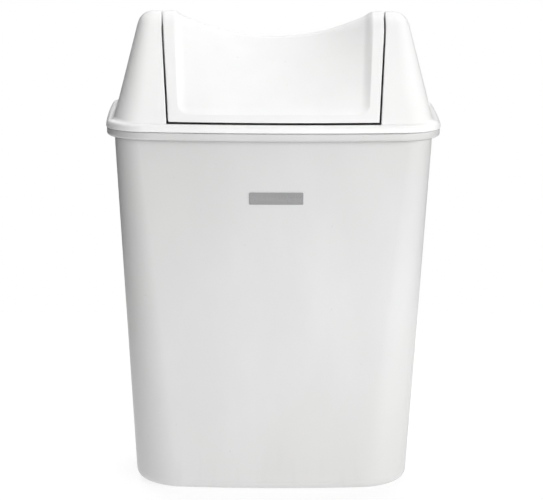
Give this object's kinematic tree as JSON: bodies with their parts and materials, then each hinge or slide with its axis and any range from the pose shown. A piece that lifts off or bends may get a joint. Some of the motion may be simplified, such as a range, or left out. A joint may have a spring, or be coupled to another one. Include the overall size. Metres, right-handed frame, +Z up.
{
  "type": "swing-lid waste bin",
  "caption": "Small free-standing waste bin: tapered tub with a turned-out rim, lift-off hood and a saddle-shaped swing flap.",
  "frame": {"origin": "on the floor under the middle of the tub", "axes": "+Z up, the front with the label faces -Y, +X is to the right as seen from the front"},
  "size_m": [0.238, 0.1552, 0.34],
  "materials": {
    "tub_plastic": "satin moulded polypropylene, white",
    "lid_plastic": "satin moulded polypropylene, white",
    "pin_plastic": "moulded acetal, white",
    "label_grey": "plain grey film, blank"
  },
  "bodies": {
    "tub": {"waste_tub": "tub_plastic", "label_plate": "label_grey"},
    "hood": {"lid_hood": "lid_plastic", "pivot_pin_left": "pin_plastic", "pivot_pin_right": "pin_plastic"},
    "flap": {"swing_flap": "lid_plastic"}
  },
  "joints": [
    {"name": "hood_lift", "type": "slide", "parent": "tub", "child": "hood", "axis": [0, 0, 1], "range_m": [0, 0.1]},
    {"name": "flap_swing", "type": "hinge", "parent": "hood", "child": "flap", "pos_m": [0, 0, 0.32], "axis": [1, 0, 0], "range_deg": [-60, 60]}
  ]
}
